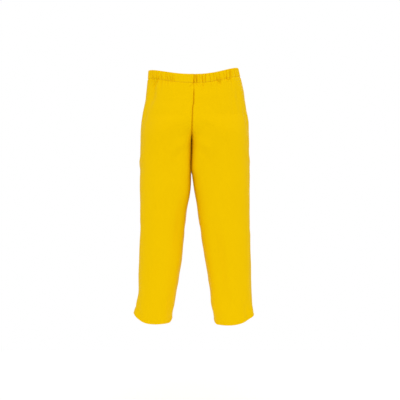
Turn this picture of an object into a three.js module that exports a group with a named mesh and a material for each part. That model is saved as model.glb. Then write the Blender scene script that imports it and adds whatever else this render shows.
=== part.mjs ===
// Waterproof over-trousers with an elastic waist, hanging in their worn shape.
// Units are millimetres. +Z is up, the front faces -Y and the origin is the middle of the waist opening.
// "right" and "left" are the wearer's own: right is -X, left is +X.
import * as THREE from 'three';

// ---- driving dimensions ----
const INSEAM = 754; // crotch point above the lowest point of the hem
const RISE = 326; // crotch point to the top of the waistband
const WAIST_HALF = 190;
const HIP_HALF = 230;
const THIGH_HALF = 231;
const HEM_OUTER = 250; // outer edge of a hem from the middle of the body
const HEM_INNER = 86;
const KNEE_INNER = 31;
const WAIST_DEPTH = 240;
const HIP_DEPTH = 276;
const CROTCH_DEPTH = 244;
const THIGH_DEPTH = 212;
const KNEE_DEPTH = 170;
const HEM_DEPTH = 150;
const CLOTH = 1.2; // shell thickness
const SEAM_GAP = 0.4; // clearance between panels that are sewn to each other
const LAYER_GAP = 0.6; // clearance between layers of cloth that lie on each other
const SAG_SPARE = 1.5; // margin on the stray of a facet's edge, for the gap under a tape
const BAND_HEIGHT = 38;
const CASING_DEPTH = 6;
const ELASTIC_WIDTH = 28;
const ELASTIC_THICKNESS = 2;
const HEM_TURN_UP = 14;
const TAPE_HALF_WIDTH = 7;
const TAPE_THICKNESS = 0.9;
const STITCH = 0.8;

// ---- hinges ----
const HIP_HEIGHT = 70; // hip axis above the crotch point
const KNEE_HEIGHT = 410; // knee axis above the lowest point of the hem
const HIP_SWING = 90;
const KNEE_FOLD = 100;
const FOLD_SPARE = 2; // degrees left between two cut edges at full travel
const CUT_GAP = 1.0; // clearance between pieces that move against each other

// ---- mesh fineness ----
const AROUND = 11; // facets around one panel
const ROW = 36; // height of one row of facets

// ---- derived heights, measured down from the waist opening ----
const CROTCH_Z = -RISE;
const HEM_Z = -RISE - INSEAM;
const HIP_Z = CROTCH_Z + HIP_HEIGHT;
const KNEE_Z = HEM_Z + KNEE_HEIGHT;
const BAND_Z = -BAND_HEIGHT;
const SEAT_Z = CROTCH_Z + 0.34 * RISE; // widest, deepest level of the seat

// Stations down the body: height, outer and inner half width, depth, and the middle of the depth.
const station = (z, outer, inner, depth, middle) => ({ z, outer, inner, depth, middle });
const alongInseam = (share) => CROTCH_Z - INSEAM * share;
const STATIONS = [
  station(0, WAIST_HALF, 0, WAIST_DEPTH, 0),
  station(BAND_Z, WAIST_HALF + 3, 0, WAIST_DEPTH + 4, 1),
  station(-0.4 * RISE, (WAIST_HALF + 2 * HIP_HALF) / 3 - 6, 0, (WAIST_DEPTH + 2 * HIP_DEPTH) / 3, 6),
  station(SEAT_Z, HIP_HALF - 3, 0, HIP_DEPTH, 10),
  station(CROTCH_Z, HIP_HALF, 0.4, CROTCH_DEPTH, 8),
  station(alongInseam(0.13), THIGH_HALF, 0.4, THIGH_DEPTH + 4, 3),
  station(alongInseam(0.28), THIGH_HALF, 0.38 * KNEE_INNER, (THIGH_DEPTH + KNEE_DEPTH) / 2 + 4, -3),
  station(KNEE_Z, THIGH_HALF, KNEE_INNER, KNEE_DEPTH, -8),
  station(alongInseam(0.72), THIGH_HALF + 4, (KNEE_INNER + HEM_INNER) / 2 + 3, (KNEE_DEPTH + HEM_DEPTH) / 2, -4),
  station(alongInseam(0.9), HEM_OUTER - 9, HEM_INNER - 5, HEM_DEPTH + 2, 1),
  station(HEM_Z, HEM_OUTER, HEM_INNER, HEM_DEPTH, 2),
];

const lerp = THREE.MathUtils.lerp;

// Smooth curve through one column of the stations, with no overshoot between them.
function profile(key) {
  const z = STATIONS.map((s) => s.z);
  const v = STATIONS.map((s) => s[key]);
  const chord = (i) => (v[i + 1] - v[i]) / (z[i + 1] - z[i]);
  const slope = v.map((_, i) => {
    if (i === 0 || i === v.length - 1) return chord(i === 0 ? 0 : i - 1);
    const before = chord(i - 1);
    const after = chord(i);
    return before * after <= 0 ? 0 : (2 * before * after) / (before + after);
  });
  return (height) => {
    const at = THREE.MathUtils.clamp(height, z[z.length - 1], z[0]);
    let i = 0;
    while (i < z.length - 2 && at < z[i + 1]) i += 1;
    const h = z[i + 1] - z[i];
    const u = (at - z[i]) / h;
    const a = (1 + 2 * u) * (1 - u) ** 2 * v[i] + u * (1 - u) ** 2 * h * slope[i];
    return a + u * u * (3 - 2 * u) * v[i + 1] + u * u * (u - 1) * h * slope[i + 1];
  };
}

const outerAt = profile('outer');
const innerAt = profile('inner');
const depthAt = profile('depth');
const middleAt = profile('middle');

// One leg's cross-section: an oval, cut off by the body's middle plane above the crotch.
function ring(height) {
  const outer = outerAt(height);
  const half = depthAt(height) / 2;
  if (height <= CROTCH_Z) {
    const inner = innerAt(height);
    return { centre: (outer + inner) / 2, wide: (outer - inner) / 2, half, start: 0 };
  }
  const share = Math.min(1, (height - CROTCH_Z) / (0.46 * RISE));
  const overlap = (1 - share) ** 1.5;
  const wide = outer / (1 + overlap);
  return { centre: wide * overlap, wide, half, start: Math.acos(overlap) };
}

// A point on the shell. t runs from the front middle or inseam (0), round the outside (0.5), to the
// back middle or inseam (1). inset is measured inwards from the outer face. side is -1 right, +1 left.
function point(side, t, height, inset) {
  const r = ring(height);
  const turn = lerp(r.start, 2 * Math.PI - r.start, t);
  const x = r.centre - r.wide * Math.cos(turn);
  const y = middleAt(height) - r.half * Math.sin(turn);
  const normal = new THREE.Vector2(-Math.cos(turn) / r.wide, -Math.sin(turn) / r.half).normalize();
  const clear = Math.max(SEAM_GAP / 2, x - normal.x * inset);
  return new THREE.Vector3(side * clear, y - normal.y * inset, height);
}

// How far the straight edge of a facet strays from the curved shell along a seam. A tape keeps this
// clear besides its own gap, because its facets start at other heights than the shell's.
function facetSag(side, t, top, bottom) {
  const stray = (z) => {
    const chord = point(side, t, z + ROW / 2, 0).lerp(point(side, t, z - ROW / 2, 0), 0.5);
    return chord.distanceTo(point(side, t, z, 0));
  };
  return Math.max(...spread(top, bottom, 40).map(stray));
}

// A point beside the column at t, a length away along the flat facet that starts there.
function beside(side, t, height, inset, length) {
  const step = Math.sign(length) * 0.5 / AROUND;
  const wrap = (u) => (u < 0 ? u + 1 : u);
  const here = point(side, t, height, inset);
  const next = point(side, wrap(t + step), height, inset);
  return here.lerp(next, Math.abs(length) / here.distanceTo(next));
}

// Six times the volume inside a list of triangles: below zero when their faces point inwards.
function signedVolume(position, index) {
  const corner = (i) => new THREE.Vector3().fromArray(position, 3 * index[i]);
  let sum = 0;
  for (let i = 0; i < index.length; i += 3) sum += corner(i).dot(corner(i + 1).cross(corner(i + 2)));
  return sum;
}

// Solid swept through columns. Each column is a list of points, the same closed outline in every one.
function sweptSolid(columns, closed) {
  const count = columns[0].length;
  const position = [];
  const index = [];
  columns.forEach((column) => column.forEach((p) => position.push(p.x, p.y, p.z)));
  const last = closed ? columns.length : columns.length - 1;
  for (let c = 0; c < last; c += 1) {
    const here = c * count;
    const next = ((c + 1) % columns.length) * count;
    for (let k = 0; k < count; k += 1) {
      const k2 = (k + 1) % count;
      index.push(here + k, here + k2, next + k2);
      index.push(here + k, next + k2, next + k);
    }
  }
  if (!closed) {
    const end = (columns.length - 1) * count;
    capOf(count).forEach(([a, b, c]) => {
      index.push(a, c, b);
      index.push(end + a, end + b, end + c);
    });
  }
  if (signedVolume(position, index) < 0) index.reverse();
  const geometry = new THREE.BufferGeometry();
  geometry.setAttribute('position', new THREE.Float32BufferAttribute(position, 3));
  geometry.setIndex(index);
  return geometry;
}

// Triangles that close the end of a sheet: its outline runs down one face and back up the other.
function capOf(count) {
  const triangles = [];
  for (let k = 0; k < count / 2 - 1; k += 1) {
    const far = count - 1 - k;
    triangles.push([k, k + 1, far - 1]);
    triangles.push([k, far - 1, far]);
  }
  return triangles;
}

const spread = (from, to, parts) => Array.from({ length: parts + 1 }, (_, i) => lerp(from, to, i / parts));

// Outline of a sheet at one column: down its outer face, back up its inner face.
function sheetColumn(side, t, top, bottom, inset, thickness, rows) {
  const heights = spread(top, bottom, rows);
  const outer = heights.map((z) => point(side, t, z, inset));
  const inner = heights.map((z) => point(side, t, z, inset + thickness)).reverse();
  return outer.concat(inner);
}

// A panel between two columns whose top and bottom edges may change height with the column.
function panel(side, t0, t1, top, bottom, parts = AROUND) {
  const ts = spread(t0, t1, parts);
  const tops = ts.map((t) => top(side, t));
  const bottoms = ts.map((t) => bottom(side, t));
  const tallest = Math.max(...tops.map((z, i) => z - bottoms[i]));
  const rows = Math.max(1, Math.round(tallest / ROW));
  const columns = ts.map((t, i) => sheetColumn(side, t, tops[i], bottoms[i], 0, CLOTH, rows));
  return sweptSolid(columns, false);
}

// A band right round both legs' common section, or round one leg.
function waistLoop(top, bottom, inset, thickness) {
  const ts = spread(0, 1, 2 * AROUND);
  const right = ts.map((t) => sheetColumn(-1, t, top, bottom, inset, thickness, 1));
  const left = ts.slice(1, -1).reverse().map((t) => sheetColumn(1, t, top, bottom, inset, thickness, 1));
  [right[0], right[right.length - 1]].forEach((column) => column.forEach((p) => p.setX(0)));
  return sweptSolid(right.concat(left), true);
}

function legLoop(side, top, bottom, inset, thickness) {
  const ts = spread(0, 1, 2 * AROUND).slice(0, -1);
  const columns = ts.map((t) => sheetColumn(side, t, top, bottom, inset, thickness, 1));
  return sweptSolid(columns, true);
}

// Upside-down U of cloth that holds the elastic: outer wall, fold and inner wall, open below.
function casing(side) {
  const columns = spread(0, 1, 2 * AROUND).map((t) => {
    const at = (inset, z) => point(side, t, z, inset);
    const outside = [at(0, BAND_Z + CUT_GAP / 2), at(0, 0), at(CASING_DEPTH, 0), at(CASING_DEPTH, BAND_Z)];
    const inside = [
      at(CASING_DEPTH - CLOTH, BAND_Z),
      at(CASING_DEPTH - CLOTH, -CLOTH),
      at(CLOTH, -CLOTH),
      at(CLOTH, BAND_Z + CUT_GAP / 2),
    ];
    return outside.concat(inside);
  });
  return sweptSolid(columns, false);
}

// Seam allowance taped inside the shell. It follows the outseam (0.5), or the inseam (0 and 1).
function seamTape(side, around, top, bottom) {
  const rows = Math.max(1, Math.round((top - bottom) / ROW));
  const start = CLOTH + LAYER_GAP + SAG_SPARE * facetSag(side, around, top, bottom);
  const columns = spread(top, bottom, rows).map((z) => {
    const layer = (inset) => [
      beside(side, around, z, inset, -TAPE_HALF_WIDTH),
      point(side, around, z, inset),
      beside(side, around, z, inset, TAPE_HALF_WIDTH),
    ];
    return layer(start).concat(layer(start + TAPE_THICKNESS).reverse());
  });
  return sweptSolid(columns, false);
}

// Seam allowance of the rise: it crosses the middle plane and joins the right half to the left.
function riseTape(t, top, bottom) {
  const rows = Math.max(1, Math.round((top - bottom) / ROW));
  const start = CLOTH + LAYER_GAP + SAG_SPARE * facetSag(1, t, top, bottom);
  const columns = spread(top, bottom, rows).map((z) => {
    const across = t === 0 ? TAPE_HALF_WIDTH : -TAPE_HALF_WIDTH;
    const layer = (inset) => {
      const middle = point(1, t, z, inset * 1.25).setX(0);
      return [beside(-1, t, z, inset, across), middle, beside(1, t, z, inset, across)];
    };
    return layer(start).concat(layer(start + TAPE_THICKNESS).reverse());
  });
  return sweptSolid(columns, false);
}

// ---- cut lines ----
// Each moving edge lies in a plane through its hinge, so that full travel just closes the fold.
const outseamY = middleAt(CROTCH_Z);
const hipY = outseamY;
const kneeY = middleAt(KNEE_Z);
const tan = (degrees) => Math.tan(THREE.MathUtils.degToRad(degrees));
const HIP_LOWER = (2 * HIP_SWING) / 3;
const HIP_UPPER = HIP_SWING - HIP_LOWER + FOLD_SPARE;
const KNEE_HALF = (KNEE_FOLD + FOLD_SPARE) / 2;

// Height at which a column meets an edge whose height depends on how deep the column lies.
function meet(side, t, edge) {
  let z = edge(hipY);
  for (let i = 0; i < 60; i += 1) z = lerp(z, edge(point(side, t, z, 0).y), 0.35);
  return z;
}

const always = (z) => () => z;
const ahead = (y) => Math.max(0, hipY - y);
const behind = (y) => Math.max(0, y - kneeY);
const seatFrontEdge = (side, t) => meet(side, t, (y) => HIP_Z + ahead(y) * tan(HIP_UPPER));
const thighFrontEdge = (side, t) => meet(side, t, (y) => Math.min(CROTCH_Z, HIP_Z - ahead(y) * tan(HIP_LOWER)));
const thighKneeEdge = (side, t) => meet(side, t, (y) => KNEE_Z + behind(y) * tan(KNEE_HALF));
const shinKneeEdge = (side, t) => meet(side, t, (y) => KNEE_Z - behind(y) * tan(KNEE_HALF));
const shifted = (edge, by) => (side, t) => edge(side, t) + by;

// ---- assembly ----
const group = new THREE.Group();
group.name = 'over_trousers';

const CLOTH_FINISH = { color: '#f2c400', roughness: 0.55, metalness: 0 };
const INSIDE_FINISH = { color: '#e6ba12', roughness: 0.7, metalness: 0 };
const ELASTIC_FINISH = { color: '#e9e6dc', roughness: 0.85, metalness: 0 };
const THREAD_FINISH = { color: '#d9a800', roughness: 0.8, metalness: 0 };

function add(name, geometry, finish) {
  geometry.computeVertexNormals();
  const mesh = new THREE.Mesh(geometry, new THREE.MeshStandardMaterial(finish));
  mesh.name = name;
  group.add(mesh);
}

const frontGap = SEAM_GAP / 900;
const FRONT = [0, 0.5 - frontGap];
const BACK = [0.5 + frontGap, 1];
const LEG_FRONT = [frontGap, 0.5 - frontGap];
const LEG_BACK = [0.5 + frontGap, 1 - frontGap];
const PANEL_TOP = BAND_Z - CUT_GAP / 2;
const ELASTIC_TOP = (BAND_Z - CLOTH + ELASTIC_WIDTH) / 2;

[-1, 1].forEach((side) => {
  const name = side < 0 ? 'right' : 'left';
  const low = shifted(always(CROTCH_Z), -CUT_GAP);
  const foldTop = shifted(seatFrontEdge, -CUT_GAP);
  add(`waist_casing_${name}`, casing(side), CLOTH_FINISH);
  add(`seat_front_${name}`, panel(side, ...FRONT, always(PANEL_TOP), seatFrontEdge), CLOTH_FINISH);
  add(`seat_back_${name}`, panel(side, ...BACK, always(PANEL_TOP), always(CROTCH_Z)), CLOTH_FINISH);
  add(`groin_fold_${name}`, panel(side, ...LEG_FRONT, foldTop, thighFrontEdge), CLOTH_FINISH);
  add(`thigh_front_${name}`, panel(side, ...LEG_FRONT, shifted(thighFrontEdge, -CUT_GAP), thighKneeEdge), CLOTH_FINISH);
  add(`thigh_back_${name}`, panel(side, ...LEG_BACK, low, thighKneeEdge), CLOTH_FINISH);
  const kneeTop = shifted(thighKneeEdge, -CUT_GAP);
  add(`knee_fold_${name}`, panel(side, ...LEG_BACK, kneeTop, shinKneeEdge), CLOTH_FINISH);
  const shinTop = shifted(shinKneeEdge, -2 * CUT_GAP);
  add(`shin_front_${name}`, panel(side, ...LEG_FRONT, shinTop, always(HEM_Z)), CLOTH_FINISH);
  add(`shin_back_${name}`, panel(side, ...LEG_BACK, shinTop, always(HEM_Z)), CLOTH_FINISH);
  add(
    `hem_turn_up_${name}`,
    legLoop(side, HEM_Z + HEM_TURN_UP, HEM_Z, CLOTH + LAYER_GAP, CLOTH),
    INSIDE_FINISH,
  );
  const stitchZ = HEM_Z + HEM_TURN_UP - 4;
  add(`hem_stitching_${name}`, legLoop(side, stitchZ, stitchZ - STITCH, -LAYER_GAP - STITCH, STITCH), THREAD_FINISH);

  const hemTop = HEM_Z + HEM_TURN_UP + CUT_GAP;
  const kneeClear = (TAPE_HALF_WIDTH + 2) * tan(KNEE_HALF);
  add(`outseam_tape_seat_${name}`, seamTape(side, 0.5, PANEL_TOP - 4, CROTCH_Z + CUT_GAP), INSIDE_FINISH);
  add(`outseam_tape_thigh_${name}`, seamTape(side, 0.5, CROTCH_Z - 3 * CUT_GAP, KNEE_Z + kneeClear), INSIDE_FINISH);
  add(`outseam_tape_shin_${name}`, seamTape(side, 0.5, KNEE_Z - kneeClear, hemTop), INSIDE_FINISH);
  add(`inseam_tape_thigh_${name}`, seamTape(side, 0, CROTCH_Z - 12, KNEE_Z + kneeClear), INSIDE_FINISH);
  add(`inseam_tape_shin_${name}`, seamTape(side, 0, KNEE_Z - kneeClear, hemTop), INSIDE_FINISH);
});

const casingMiddle = (CASING_DEPTH - ELASTIC_THICKNESS) / 2;
add(
  'waist_elastic',
  waistLoop(ELASTIC_TOP, ELASTIC_TOP - ELASTIC_WIDTH, casingMiddle, ELASTIC_THICKNESS),
  ELASTIC_FINISH,
);
add('waist_stitching', waistLoop(BAND_Z + 4, BAND_Z + 4 - STITCH, -LAYER_GAP - STITCH, STITCH), THREAD_FINISH);
add('front_rise_tape', riseTape(0, PANEL_TOP - 4, seatFrontEdge(1, 0) + 4), INSIDE_FINISH);
add('back_rise_tape', riseTape(1, PANEL_TOP - 4, CROTCH_Z + 50), INSIDE_FINISH);

export default group;
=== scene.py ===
"""Waterproof pull-on over-trousers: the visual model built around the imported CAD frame.

The trousers are yellow coated cloth. Four panels hang from a gathered elastic waistband, meet in a
centre rise, outseams and inseams, and end in narrow turned hems.
"""

import logging
import math
from dataclasses import dataclass, field
from enum import Enum

import bpy
import numpy as np
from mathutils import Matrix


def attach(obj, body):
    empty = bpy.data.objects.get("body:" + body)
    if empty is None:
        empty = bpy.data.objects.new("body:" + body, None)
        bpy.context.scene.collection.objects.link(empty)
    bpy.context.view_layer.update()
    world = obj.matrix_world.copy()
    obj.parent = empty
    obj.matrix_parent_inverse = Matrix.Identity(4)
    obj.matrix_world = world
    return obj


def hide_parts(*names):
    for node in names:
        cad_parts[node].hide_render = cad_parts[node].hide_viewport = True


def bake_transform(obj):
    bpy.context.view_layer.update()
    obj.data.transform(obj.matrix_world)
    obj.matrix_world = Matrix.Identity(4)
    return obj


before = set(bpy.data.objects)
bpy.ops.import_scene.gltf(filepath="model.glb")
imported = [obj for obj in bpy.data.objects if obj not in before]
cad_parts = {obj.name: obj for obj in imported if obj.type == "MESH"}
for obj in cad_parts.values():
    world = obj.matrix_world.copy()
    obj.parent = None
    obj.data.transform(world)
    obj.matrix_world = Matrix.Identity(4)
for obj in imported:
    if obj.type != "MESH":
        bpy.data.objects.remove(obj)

LOG = logging.getLogger("over_trousers")

# Levels in metres below the waist, then the waistband's height, the cloth's thickness and the
# height of the hem's stitched line over the hem.
CROTCH = -0.326
HEM = -1.080
SPLIT = -0.560
BAND = 0.038
CLOTH = 0.0007
HEM_STITCH = 0.0085


class Side(Enum):
    """The wearer's own side; the value is the sign of X."""

    RIGHT = -1
    LEFT = 1

    @property
    def word(self) -> str:
        """The side's name as it stands in piece names."""
        return self.name.lower()


class Face(Enum):
    """The front or the back of the garment, as the span of the turn round one leg."""

    FRONT = (0.0, 0.5)
    BACK = (0.5, 1.0)

    @property
    def word(self) -> str:
        """The face's name as it stands in piece names."""
        return self.name.lower()


@dataclass(frozen=True)
class Curve:
    """A smooth curve through a few levels down the garment, with no overshoot between them."""

    knots: tuple[tuple[float, float], ...]

    def __call__(self, level: np.ndarray) -> np.ndarray:
        """Reads the curve.

        Args:
            level: Heights in metres, 0 at the waist and falling to the hem.

        Returns:
            The curve's value at each height.
        """
        x = np.array([k[0] for k in reversed(self.knots)])
        v = np.array([k[1] for k in reversed(self.knots)])
        h = np.diff(x)
        chord = np.diff(v) / h
        slope = np.empty_like(v)
        slope[0], slope[-1] = chord[0], chord[-1]
        product = chord[:-1] * chord[1:]
        total = chord[:-1] + chord[1:]
        safe = np.where(np.abs(total) < 1e-12, 1.0, total)
        slope[1:-1] = np.where(product > 0, 2 * product / safe, 0.0)
        at = np.clip(level, x[0], x[-1])
        i = np.clip(np.searchsorted(x, at, side="right") - 1, 0, len(h) - 1)
        u = (at - x[i]) / h[i]
        rise = (1 + 2 * u) * (1 - u) ** 2 * v[i] + u * (1 - u) ** 2 * h[i] * slope[i]
        return rise + u * u * (3 - 2 * u) * v[i + 1] + u * u * (u - 1) * h[i] * slope[i + 1]


def smooth(value: np.ndarray, low: float, high: float) -> np.ndarray:
    """Smooth step from 0 at low to 1 at high; high may lie under low."""
    t = np.clip((value - low) / (high - low), 0, 1)
    return t * t * (3 - 2 * t)


def bell(distance: np.ndarray, width: float) -> np.ndarray:
    """Bell curve, 1 at no distance, about a third at one width."""
    return np.exp(-((distance / width) ** 2))


@dataclass(frozen=True)
class Fold:
    """One soft fold: a valley or ridge along a line seen straight on from the front, back or side.

    start and end are points in metres: across the view, and the height. depth is below zero for
    a valley. facing is the way the folded cloth looks.
    """

    start: tuple[float, float]
    end: tuple[float, float]
    width: float
    depth: float
    facing: tuple[float, float]

    def press(self, place: np.ndarray, normal: np.ndarray) -> np.ndarray:
        """Works out how far this fold moves the cloth.

        Args:
            place: Points of the cloth.
            normal: Outward directions of the cloth, level, one for each point.

        Returns:
            The distance outwards at each point.
        """
        fx, fy = self.facing
        across = place[..., 0] * abs(fy) + place[..., 1] * abs(fx)
        a, b = np.array(self.start), np.array(self.end)
        run = b - a
        ox, oz = across - a[0], place[..., 2] - a[1]
        t = np.clip((ox * run[0] + oz * run[1]) / (run @ run), 0, 1)
        gap = np.hypot(ox - t * run[0], oz - t * run[1])
        taper = 0.25 + 0.75 * np.sin(math.pi * np.clip(t * 0.8 + 0.1, 0, 1))
        toward = np.clip(normal[..., 0] * fx + normal[..., 1] * fy, 0, 1)
        return self.depth * bell(gap, self.width) * taper * smooth(toward, 0.05, 0.45)


FORWARD, BACKWARD, LEFTWARD, RIGHTWARD = (0.0, -1.0), (0.0, 1.0), (1.0, 0.0), (-1.0, 0.0)


def folds(facing: tuple[float, float], *rows: tuple[float, ...]) -> tuple[Fold, ...]:
    """Makes the folds of one view; a row is two ends, each across and height, width and depth."""
    return tuple(Fold(row[:2], row[2:4], row[4], row[5], facing) for row in rows)


@dataclass(frozen=True)
class EdgeLine:
    """How the waist and the hem of one half leave the level."""

    corner_drop: float
    outer_width: float
    hem_lift: float
    front_dip: float = 0.039
    back_dip: float = 0.022
    outer_lift: float = 0.039
    inner_lift: float = 0.015
    front_drop: float = 0.003


@dataclass
class TrouserForm:
    """The hanging shape that every piece of cloth follows.

    Heights called level are measured before the waist dips and the hems lift.
    """

    right_outer: Curve = Curve((
        (0.0, 0.1915), (-0.032, 0.1938), (-0.082, 0.1978), (-0.133, 0.2066), (-0.183, 0.2168),
        (-0.234, 0.2223), (-0.309, 0.2255), (-0.410, 0.2275), (-0.460, 0.2290), (-0.610, 0.2250),
        (-0.760, 0.2290), (-0.864, 0.2322), (-0.939, 0.2335), (-0.970, 0.2371), (-1.021, 0.2422),
        (-1.045, 0.2440), (-1.062, 0.2490), (-1.080, 0.2536),
    ))
    left_outer: Curve = Curve((
        (0.0, 0.1836), (-0.032, 0.1908), (-0.082, 0.2015), (-0.133, 0.2102), (-0.183, 0.2184),
        (-0.234, 0.2276), (-0.309, 0.2296), (-0.380, 0.2280), (-0.410, 0.2295), (-0.640, 0.2325),
        (-0.760, 0.2348), (-0.864, 0.2404), (-0.939, 0.2412), (-0.970, 0.2424), (-1.021, 0.2430),
        (-1.062, 0.2464), (-1.080, 0.2491),
    ))
    centre: Curve = Curve((
        (0.0, 0.0), (-0.060, -0.0008), (-0.134, -0.0018), (-0.160, -0.0058), (-0.260, -0.0088),
        (-0.340, -0.0112), (-0.420, -0.0135), (-0.450, -0.0115), (-0.494, -0.0090),
        (-0.536, -0.0078), (-0.600, -0.0090), (-0.640, -0.0080), (-0.720, -0.0070),
        (-0.763, -0.0045), (-0.864, -0.0018), (-0.900, -0.0022), (-0.964, -0.0048),
        (-1.000, -0.0064), (-1.080, -0.0050),
    ))
    leg_gap: Curve = Curve((
        (CROTCH, 0.0), (-0.422, 0.0), (-0.452, 0.0028), (-0.494, 0.0066), (-0.536, 0.0128),
        (-0.580, 0.0202), (-0.637, 0.0268), (-0.700, 0.0352), (-0.763, 0.0440), (-0.800, 0.0482),
        (-0.864, 0.0590), (-0.897, 0.0630), (-0.939, 0.0712), (-0.990, 0.0765), (-1.014, 0.0790),
        (-1.057, 0.0868), (-1.080, 0.0885),
    ))
    depth: Curve = Curve((
        (0.0, 0.238), (-0.038, 0.240), (-0.130, 0.262), (-0.215, 0.278), (CROTCH, 0.250),
        (-0.424, 0.218), (-0.537, 0.196), (-0.670, 0.172), (-0.869, 0.160), (-1.005, 0.153),
        (-1.080, 0.152),
    ))
    middle: Curve = Curve((
        (0.0, 0.0), (-0.038, 0.001), (-0.130, 0.006), (-0.215, 0.010), (CROTCH, 0.008),
        (-0.424, 0.003), (-0.537, -0.003), (-0.670, -0.008), (-0.869, -0.004), (-1.005, 0.001),
        (-1.080, 0.002),
    ))
    inner_squareness: Curve = Curve((
        (0.0, 2.0), (-0.150, 2.1), (-0.240, 2.7), (-0.296, 4.0), (CROTCH, 4.6), (-0.405, 4.5),
        (-0.470, 3.6), (-0.600, 2.7), (-0.900, 2.4), (-1.080, 2.5),
    ))
    outer_squareness: float = 2.12
    crease_height: float = 0.130
    seam_gap: float = 0.00003
    leg_clearance: float = 0.00025
    edges: dict[Side, EdgeLine] = field(default_factory=lambda: {
        Side.RIGHT: EdgeLine(corner_drop=0.0115, outer_width=0.136, hem_lift=0.0138),
        Side.LEFT: EdgeLine(corner_drop=0.001, outer_width=0.166, hem_lift=0.0077)})
    folds: tuple[Fold, ...] = field(default_factory=lambda: FRONT_FOLDS + BACK_FOLDS + SIDE_FOLDS)

    def ring(self, side: Side, level: np.ndarray) -> dict[str, np.ndarray]:
        """Sizes of one leg's level section: an oval, cut off by the centre above the crotch.

        Args:
            side: Which leg.
            level: Heights.

        Returns:
            centre, wide, half, square and start of the oval at each height. The oval starts at
            the angle start from its inner end.
        """
        middle_line = self.centre(level)
        outline = self.right_outer if side is Side.RIGHT else self.left_outer
        outer = outline(level) - side.value * middle_line
        gap = self.leg_gap(level)
        above = level > CROTCH
        share = np.clip((level - CROTCH) / self.crease_height, 0, 1)
        square = self.inner_squareness(level)
        rise = 1 - (1 - share) ** 3.4
        overlap = np.maximum(0, 1 - rise ** square) ** (1 / square)
        wide = np.where(above, outer / (1 + overlap), (outer - gap) / 2)
        centre = np.where(above, wide * overlap, (outer + gap) / 2)
        start = np.where(above, np.arctan2(rise, overlap), 0.0)
        return {"centre": centre, "wide": wide, "half": self.depth(level) / 2, "square": square,
                "start": start}

    def section(self, ring: dict[str, np.ndarray],
                turn: np.ndarray) -> tuple[np.ndarray, np.ndarray, np.ndarray, np.ndarray]:
        """Points of the squared ovals at some turns.

        Args:
            ring: Sizes of the ovals, as columns.
            turn: Angles from the inner end, by way of the front.

        Returns:
            Distance from the centre plane, depth behind the middle, and the outward direction's
            two parts.
        """
        across, along = np.cos(turn), np.sin(turn)
        power = np.where(across > 0, ring["square"], self.outer_squareness)
        reach = (np.abs(across) ** power + np.abs(along) ** power) ** (-1 / power)
        a, b = across * reach, along * reach
        nx = -np.sign(a) * np.abs(a) ** (power - 1) / ring["wide"]
        ny = -np.sign(b) * np.abs(b) ** (power - 1) / ring["half"]
        size = np.maximum(np.hypot(nx, ny), 1e-9)
        return ring["centre"] - ring["wide"] * a, -ring["half"] * b, nx / size, ny / size

    def even_turn(self, ring: dict[str, np.ndarray], around: np.ndarray) -> np.ndarray:
        """Turns of evenly spaced columns, so that 0.5 always falls on the outseam.

        Args:
            ring: Sizes of the ovals, as columns.
            around: Share of the way round, 0 and 1 at the inner end, rows and columns.

        Returns:
            The angle of each point.
        """
        fine = np.linspace(0, 1, 240)[None, :]
        turn = ring["start"] + (math.pi - ring["start"]) * fine
        x, y, _, _ = self.section(ring, turn)
        steps = np.hypot(np.diff(x, axis=1), np.diff(y, axis=1))
        run = np.concatenate([np.zeros((len(x), 1)), np.cumsum(steps, axis=1)], axis=1)
        share = 1 - np.abs(2 * around - 1)
        share = np.broadcast_to(share, (len(x), share.shape[1]))
        front = np.stack([np.interp(share[i], run[i] / run[i, -1], turn[i]) for i in range(len(x))])
        return np.where(around <= 0.5, front, 2 * math.pi - front)

    def girth(self, side: Side, level: np.ndarray) -> np.ndarray:
        """Length of the cloth from the inner end to the outseam at each height."""
        ring = {k: v[:, None] for k, v in self.ring(side, level).items()}
        turn = ring["start"] + (math.pi - ring["start"]) * np.linspace(0, 1, 120)[None, :]
        x, y, _, _ = self.section(ring, turn)
        return np.hypot(np.diff(x, axis=1), np.diff(y, axis=1)).sum(axis=1)

    def dip(self, side: Side, around: np.ndarray, level: np.ndarray) -> np.ndarray:
        """How far the real height lies from the level: the waist dips, the hems lift at their ends.

        Args:
            side: Which half.
            around: Turn from the front centre (0) to the back centre (1).
            level: Heights before the dip.

        Returns:
            The height to add.
        """
        turn = 2 * math.pi * around
        front = (1 + np.cos(math.pi * around)) / 2
        edge = self.edges[side]
        side_share = np.sin(math.pi * np.clip(around, 0, 1)) ** 2.5
        waist = -edge.front_dip * front - edge.back_dip * (1 - front)
        waist = waist * (1 - side_share) - edge.corner_drop * side_share
        outer_lift = bell(around - 0.5, edge.outer_width) * edge.outer_lift
        inner_lift = smooth(np.minimum(around, 1 - around), 0.105, 0.0) * edge.inner_lift
        inner_lift = inner_lift + (1 + np.cos(turn)) / 2 * 0.003
        front_drop = bell(around - 0.25, 0.12) * edge.front_drop
        hem = edge.hem_lift + outer_lift + inner_lift - front_drop
        return waist * smooth(level, -0.26, -0.03) + hem * smooth(level, -0.93, -1.075)

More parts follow.
